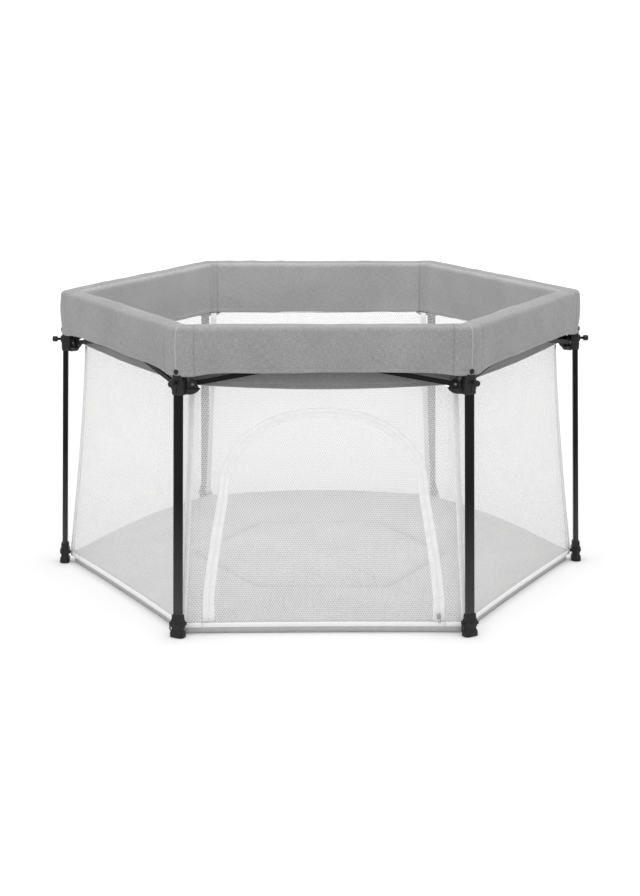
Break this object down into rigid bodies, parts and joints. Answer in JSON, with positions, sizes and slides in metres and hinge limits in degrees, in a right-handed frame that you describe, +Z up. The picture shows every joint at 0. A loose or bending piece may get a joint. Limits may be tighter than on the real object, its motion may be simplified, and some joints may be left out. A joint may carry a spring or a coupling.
{
  "type": "travel play yard",
  "caption": "Folding six-sided play yard: leaning legs, scissor-bar frame, fabric rail cover, mesh walls with a zipped door, folding floor mat.",
  "frame": {"origin": "on the floor, at the centre of the six-sided play yard", "axes": "+Z up, +X towards the right-hand corner leg, -Y out of the front side with the zipped door"},
  "size_m": [1.272, 1.1122, 0.667],
  "materials": {
    "plastic_black": "moulded, fine texture",
    "tube_black": "satin black coating",
    "bar_black": "satin black coating",
    "rail_fabric": "grey melange woven polyester",
    "mesh_white": "fine white knitted mesh",
    "mat_fabric": "light grey woven polyester",
    "binding_white": "white woven tape",
    "rivet_steel": "zinc plated",
    "zip_grey": "light grey moulded"
  },
  "bodies": {
    "corner_right": {"hub_right": "plastic_black", "rail_cover_right_rear": "rail_fabric", "mesh_wall_right_rear": "mesh_white"},
    "corner_back_right": {"hub_back_right": "plastic_black", "rail_cover_rear": "rail_fabric", "mesh_wall_rear": "mesh_white"},
    "corner_back_left": {"hub_back_left": "plastic_black", "rail_cover_left_rear": "rail_fabric", "mesh_wall_left_rear": "mesh_white"},
    "corner_left": {"hub_left": "plastic_black", "rail_cover_left_front": "rail_fabric", "mesh_wall_left_front": "mesh_white"},
    "corner_front_left": {"hub_front_left": "plastic_black"},
    "corner_front_right": {"hub_front_right": "plastic_black", "rail_cover_right_front": "rail_fabric", "mesh_wall_right_front": "mesh_white", "rail_cover_front": "rail_fabric", "mesh_wall_front": "mesh_white"},
    "leg_right": {"leg_tube_right": "tube_black", "foot_right": "plastic_black"},
    "leg_back_right": {"leg_tube_back_right": "tube_black", "foot_back_right": "plastic_black"},
    "leg_back_left": {"leg_tube_back_left": "tube_black", "foot_back_left": "plastic_black"},
    "leg_left": {"leg_tube_left": "tube_black", "foot_left": "plastic_black"},
    "leg_front_left": {"leg_tube_front_left": "tube_black", "foot_front_left": "plastic_black"},
    "leg_front_right": {"leg_tube_front_right": "tube_black", "foot_front_right": "plastic_black"},
    "outer_bar_right_rear": {"outer_bar_right_rear": "bar_black"},
    "inner_bar_right_rear": {"inner_bar_right_rear": "bar_black"},
    "outer_bar_rear": {"outer_bar_rear": "bar_black"},
    "inner_bar_rear": {"inner_bar_rear": "bar_black"},
    "outer_bar_left_rear": {"outer_bar_left_rear": "bar_black"},
    "inner_bar_left_rear": {"inner_bar_left_rear": "bar_black"},
    "outer_bar_left_front": {"outer_bar_left_front": "bar_black"},
    "inner_bar_left_front": {"inner_bar_left_front": "bar_black"},
    "outer_bar_front": {"outer_bar_front": "bar_black"},
    "inner_bar_front": {"inner_bar_front": "bar_black"},
    "outer_bar_right_front": {"outer_bar_right_front": "bar_black"},
    "inner_bar_right_front": {"inner_bar_right_front": "bar_black"},
    "slider_right": {"slider_right": "plastic_black"},
    "slider_back_right": {"slider_back_right": "plastic_black"},
    "slider_back_left": {"slider_back_left": "plastic_black"},
    "slider_left": {"slider_left": "plastic_black"},
    "slider_front_left": {"slider_front_left": "plastic_black"},
    "slider_front_right": {"slider_front_right": "plastic_black"},
    "knob_right": {"knob_right": "plastic_black"},
    "knob_back_right": {"knob_back_right": "plastic_black"},
    "knob_back_left": {"knob_back_left": "plastic_black"},
    "knob_left": {"knob_left": "plastic_black"},
    "knob_front_left": {"knob_front_left": "plastic_black"},
    "knob_front_right": {"knob_front_right": "plastic_black"},
    "mat_right": {"mat_leaf_right": "mat_fabric"},
    "mat_back_left": {"mat_leaf_back_left": "mat_fabric"},
    "mat_front_left": {"mat_leaf_front_left": "mat_fabric"},
    "door": {"door_flap": "mesh_white"},
    "zip_slider": {"zip_slider": "zip_grey"},
    "zip_tab": {"zip_tab": "zip_grey"}
  },
  "joints": [
    {"name": "fold", "type": "hinge", "parent": "corner_front_right", "child": "outer_bar_right_front", "pos_m": [0.309, -0.49363, 0.645], "axis": [-0.866, 0.5, 0], "range_deg": [0, 74.62], "deforming": ["rail_cover_right_rear", "rail_cover_rear", "rail_cover_left_rear", "rail_cover_left_front", "rail_cover_front", "rail_cover_right_front", "mesh_wall_right_rear", "mesh_wall_rear", "mesh_wall_left_rear", "mesh_wall_left_front", "mesh_wall_front", "mesh_wall_right_front", "mat_leaf_right", "mat_leaf_back_left", "mat_leaf_front_left", "door_flap"]},
    {"name": "inner_bar_right_front_centre", "type": "hinge", "parent": "outer_bar_right_front", "child": "inner_bar_right_front", "pos_m": [0.4455, -0.25721, 0.595], "axis": [-0.866, 0.5, 0], "range_deg": [-149.24, 0]},
    {"name": "corner_right_pivot", "type": "hinge", "parent": "inner_bar_right_front", "child": "corner_right", "pos_m": [0.582, -0.02079, 0.645], "axis": [-0.866, 0.5, 0], "range_deg": [0, 74.62]},
    {"name": "slider_right_pivot", "type": "hinge", "parent": "outer_bar_right_front", "child": "slider_right", "pos_m": [0.582, -0.02079, 0.545], "axis": [-0.866, 0.5, 0], "range_deg": [-74.62, 0]},
    {"name": "slider_front_right_pivot", "type": "hinge", "parent": "inner_bar_right_front", "child": "slider_front_right", "pos_m": [0.309, -0.49363, 0.545], "axis": [-0.866, 0.5, 0], "range_deg": [0, 74.62]},
    {"name": "outer_bar_right_rear_pivot", "type": "hinge", "parent": "corner_right", "child": "outer_bar_right_rear", "pos_m": [0.582, 0.02079, 0.645], "axis": [-0.866, -0.5, 0], "range_deg": [0, 74.62]},
    {"name": "inner_bar_right_rear_centre", "type": "hinge", "parent": "outer_bar_right_rear", "child": "inner_bar_right_rear", "pos_m": [0.4455, 0.25721, 0.595], "axis": [-0.866, -0.5, 0], "range_deg": [-149.24, 0]},
    {"name": "corner_back_right_pivot", "type": "hinge", "parent": "inner_bar_right_rear", "child": "corner_back_right", "pos_m": [0.309, 0.49363, 0.645], "axis": [-0.866, -0.5, 0], "range_deg": [0, 74.62]},
    {"name": "slider_back_right_pivot", "type": "hinge", "parent": "outer_bar_right_rear", "child": "slider_back_right", "pos_m": [0.309, 0.49363, 0.545], "axis": [-0.866, -0.5, 0], "range_deg": [-74.62, 0]},
    {"name": "outer_bar_rear_pivot", "type": "hinge", "parent": "corner_back_right", "child": "outer_bar_rear", "pos_m": [0.273, 0.51442, 0.645], "axis": [0, -1, 0], "range_deg": [0, 74.62]},
    {"name": "inner_bar_rear_centre", "type": "hinge", "parent": "outer_bar_rear", "child": "inner_bar_rear", "pos_m": [0, 0.51442, 0.595], "axis": [0, -1, 0], "range_deg": [-149.24, 0]},
    {"name": "corner_back_left_pivot", "type": "hinge", "parent": "inner_bar_rear", "child": "corner_back_left", "pos_m": [-0.273, 0.51442, 0.645], "axis": [0, -1, 0], "range_deg": [0, 74.62]},
    {"name": "slider_back_left_pivot", "type": "hinge", "parent": "outer_bar_rear", "child": "slider_back_left", "pos_m": [-0.273, 0.51442, 0.545], "axis": [0, -1, 0], "range_deg": [-74.62, 0]},
    {"name": "inner_bar_front_pivot", "type": "hinge", "parent": "corner_front_right", "child": "inner_bar_front", "pos_m": [0.273, -0.51442, 0.645], "axis": [0, 1, 0], "range_deg": [-74.62, 0]},
    {"name": "outer_bar_front_centre", "type": "hinge", "parent": "inner_bar_front", "child": "outer_bar_front", "pos_m": [0, -0.51442, 0.595], "axis": [0, 1, 0], "range_deg": [0, 149.24]},
    {"name": "corner_front_left_pivot", "type": "hinge", "parent": "outer_bar_front", "child": "corner_front_left", "pos_m": [-0.273, -0.51442, 0.645], "axis": [0, 1, 0], "range_deg": [-74.62, 0]},
    {"name": "slider_front_left_pivot", "type": "hinge", "parent": "inner_bar_front", "child": "slider_front_left", "pos_m": [-0.273, -0.51442, 0.545], "axis": [0, 1, 0], "range_deg": [0, 74.62]},
    {"name": "inner_bar_left_front_pivot", "type": "hinge", "parent": "corner_front_left", "child": "inner_bar_left_front", "pos_m": [-0.309, -0.49363, 0.645], "axis": [0.866, 0.5, 0], "range_deg": [-74.62, 0]},
    {"name": "outer_bar_left_front_centre", "type": "hinge", "parent": "inner_bar_left_front", "child": "outer_bar_left_front", "pos_m": [-0.4455, -0.25721, 0.595], "axis": [0.866, 0.5, 0], "range_deg": [0, 149.24]},
    {"name": "corner_left_pivot", "type": "hinge", "parent": "outer_bar_left_front", "child": "corner_left", "pos_m": [-0.582, -0.02079, 0.645], "axis": [0.866, 0.5, 0], "range_deg": [-74.62, 0]},
    {"name": "slider_left_pivot", "type": "hinge", "parent": "inner_bar_left_front", "child": "slider_left", "pos_m": [-0.582, -0.02079, 0.545], "axis": [0.866, 0.5, 0], "range_deg": [0, 74.62]},
    {"name": "outer_bar_left_rear_pivot", "type": "hinge", "parent": "corner_back_left", "child": "outer_bar_left_rear", "pos_m": [-0.309, 0.49363, 0.645], "axis": [0.866, -0.5, 0], "range_deg": [0, 74.62]},
    {"name": "inner_bar_left_rear_pivot", "type": "hinge", "parent": "corner_left", "child": "inner_bar_left_rear", "pos_m": [-0.582, 0.02079, 0.645], "axis": [0.866, -0.5, 0], "range_deg": [-74.62, 0]},
    {"name": "leg_right_lean", "type": "hinge", "parent": "corner_right", "child": "leg_right", "pos_m": [0.60087, 0, 0.622], "axis": [0, 1, 0], "range_deg": [0, 1.89]},
    {"name": "leg_back_right_lean", "type": "hinge", "parent": "corner_back_right", "child": "leg_back_right", "pos_m": [0.30044, 0.52037, 0.622], "axis": [-0.866, 0.5, 0], "range_deg": [0, 1.89]},
    {"name": "leg_back_left_lean", "type": "hinge", "parent": "corner_back_left", "child": "leg_back_left", "pos_m": [-0.30044, 0.52037, 0.622], "axis": [-0.866, -0.5, 0], "range_deg": [0, 1.89]},
    {"name": "leg_left_lean", "type": "hinge", "parent": "corner_left", "child": "leg_left", "pos_m": [-0.60087, 0, 0.622], "axis": [0, -1, 0], "range_deg": [0, 1.89]},
    {"name": "leg_front_left_lean", "type": "hinge", "parent": "corner_front_left", "child": "leg_front_left", "pos_m": [-0.30044, -0.52037, 0.622], "axis": [0.866, -0.5, 0], "range_deg": [0, 1.89]},
    {"name": "leg_front_right_lean", "type": "hinge", "parent": "corner_front_right", "child": "leg_front_right", "pos_m": [0.30044, -0.52037, 0.622], "axis": [0.866, 0.5, 0], "range_deg": [0, 1.89]},
    {"name": "mat_right_fold", "type": "hinge", "parent": "leg_right", "child": "mat_right", "pos_m": [0.582, 0, 0.032], "axis": [0, 1, 0], "range_deg": [0, 88.05]},
    {"name": "mat_back_left_fold", "type": "hinge", "parent": "leg_back_left", "child": "mat_back_left", "pos_m": [-0.291, 0.50403, 0.032], "axis": [-0.866, -0.5, 0], "range_deg": [0, 88.05]},
    {"name": "mat_front_left_fold", "type": "hinge", "parent": "leg_front_left", "child": "mat_front_left", "pos_m": [-0.291, -0.50403, 0.032], "axis": [0.866, -0.5, 0], "range_deg": [0, 88.05]},
    {"name": "knob_right_pull", "type": "slide", "parent": "slider_right", "child": "knob_right", "axis": [1, 0, 0], "range_m": [0, 0.004], "stiffness_N_per_m": 600, "springref_m": -0.004},
    {"name": "knob_back_right_pull", "type": "slide", "parent": "slider_back_right", "child": "knob_back_right", "axis": [0.5, 0.866, 0], "range_m": [0, 0.004], "stiffness_N_per_m": 600, "springref_m": -0.004},
    {"name": "knob_back_left_pull", "type": "slide", "parent": "slider_back_left", "child": "knob_back_left", "axis": [-0.5, 0.866, 0], "range_m": [0, 0.004], "stiffness_N_per_m": 600, "springref_m": -0.004},
    {"name": "knob_left_pull", "type": "slide", "parent": "slider_left", "child": "knob_left", "axis": [-1, 0, 0], "range_m": [0, 0.004], "stiffness_N_per_m": 600, "springref_m": -0.004},
    {"name": "knob_front_left_pull", "type": "slide", "parent": "slider_front_left", "child": "knob_front_left", "axis": [-0.5, -0.866, 0], "range_m": [0, 0.004], "stiffness_N_per_m": 600, "springref_m": -0.004},
    {"name": "knob_front_right_pull", "type": "slide", "parent": "slider_front_right", "child": "knob_front_right", "axis": [0.5, -0.866, 0], "range_m": [0, 0.004], "stiffness_N_per_m": 600, "springref_m": -0.004},
    {"name": "door_swing", "type": "hinge", "parent": "leg_front_right", "child": "door", "pos_m": [0, -0.5255, 0.03], "axis": [1, 0, 0], "range_deg": [0, 85]},
    {"name": "zip_slide", "type": "slide", "parent": "leg_front_right", "child": "zip_slider", "axis": [-0.1235, 0.0919, 0.9881], "range_m": [0, 0.1518]},
    {"name": "zip_tab_swing", "type": "hinge", "parent": "zip_slider", "child": "zip_tab", "pos_m": [0.24597, -0.53264, 0.03925], "axis": [-0.9922, 0, -0.1247], "range_deg": [0, 110]}
  ],
  "couplings": [
    {"joint": "inner_bar_right_front_centre", "follows": "fold", "ratio": -2},
    {"joint": "corner_right_pivot", "follows": "fold", "ratio": 1},
    {"joint": "slider_right_pivot", "follows": "fold", "ratio": -1},
    {"joint": "slider_front_right_pivot", "follows": "fold", "ratio": 1},
    {"joint": "outer_bar_right_rear_pivot", "follows": "fold", "ratio": 1},
    {"joint": "inner_bar_right_rear_centre", "follows": "fold", "ratio": -2},
    {"joint": "corner_back_right_pivot", "follows": "fold", "ratio": 1},
    {"joint": "slider_back_right_pivot", "follows": "fold", "ratio": -1},
    {"joint": "outer_bar_rear_pivot", "follows": "fold", "ratio": 1},
    {"joint": "inner_bar_rear_centre", "follows": "fold", "ratio": -2},
    {"joint": "corner_back_left_pivot", "follows": "fold", "ratio": 1},
    {"joint": "slider_back_left_pivot", "follows": "fold", "ratio": -1},
    {"joint": "inner_bar_front_pivot", "follows": "fold", "ratio": -1},
    {"joint": "outer_bar_front_centre", "follows": "fold", "ratio": 2},
    {"joint": "corner_front_left_pivot", "follows": "fold", "ratio": -1},
    {"joint": "slider_front_left_pivot", "follows": "fold", "ratio": 1},
    {"joint": "inner_bar_left_front_pivot", "follows": "fold", "ratio": -1},
    {"joint": "outer_bar_left_front_centre", "follows": "fold", "ratio": 2},
    {"joint": "corner_left_pivot", "follows": "fold", "ratio": -1},
    {"joint": "slider_left_pivot", "follows": "fold", "ratio": 1},
    {"joint": "outer_bar_left_rear_pivot", "follows": "fold", "ratio": 1},
    {"joint": "inner_bar_left_rear_pivot", "follows": "fold", "ratio": -1},
    {"joint": "leg_right_lean", "follows": "fold", "ratio": 0.025338},
    {"joint": "leg_back_right_lean", "follows": "fold", "ratio": 0.025338},
    {"joint": "leg_back_left_lean", "follows": "fold", "ratio": 0.025338},
    {"joint": "leg_left_lean", "follows": "fold", "ratio": 0.025338},
    {"joint": "leg_front_left_lean", "follows": "fold", "ratio": 0.025338},
    {"joint": "leg_front_right_lean", "follows": "fold", "ratio": 0.025338},
    {"joint": "mat_right_fold", "follows": "fold", "ratio": 1.18},
    {"joint": "mat_back_left_fold", "follows": "fold", "ratio": 1.18},
    {"joint": "mat_front_left_fold", "follows": "fold", "ratio": 1.18}
  ]
}
